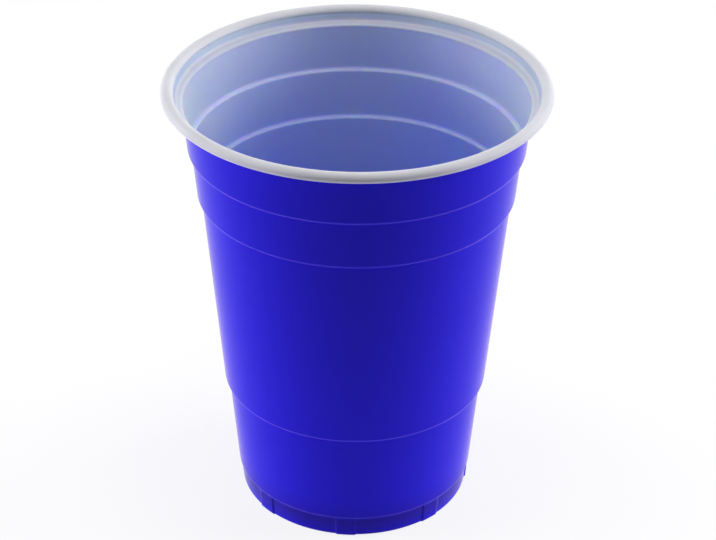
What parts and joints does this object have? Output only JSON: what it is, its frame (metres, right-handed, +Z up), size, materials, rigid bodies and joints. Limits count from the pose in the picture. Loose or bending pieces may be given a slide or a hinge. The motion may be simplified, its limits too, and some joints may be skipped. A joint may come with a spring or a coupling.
{
  "type": "plastic party cup",
  "caption": "Tapered plastic party cup with a rolled rim, a ledge inside the mouth, stepped grip bands and a lugged foot; holds a cold drink and nests in a stack.",
  "frame": {"origin": "centre of the foot, on the table plane", "axes": "+Z up along the cup's axis towards the mouth; one lug of the foot points along +X"},
  "size_m": [0.095, 0.095, 0.1148],
  "materials": {
    "cup_sheet": "glossy blue outside, satin white inside and on the rolled rim"
  },
  "bodies": {
    "root": {"cup": "cup_sheet"}
  },
  "joints": []
}
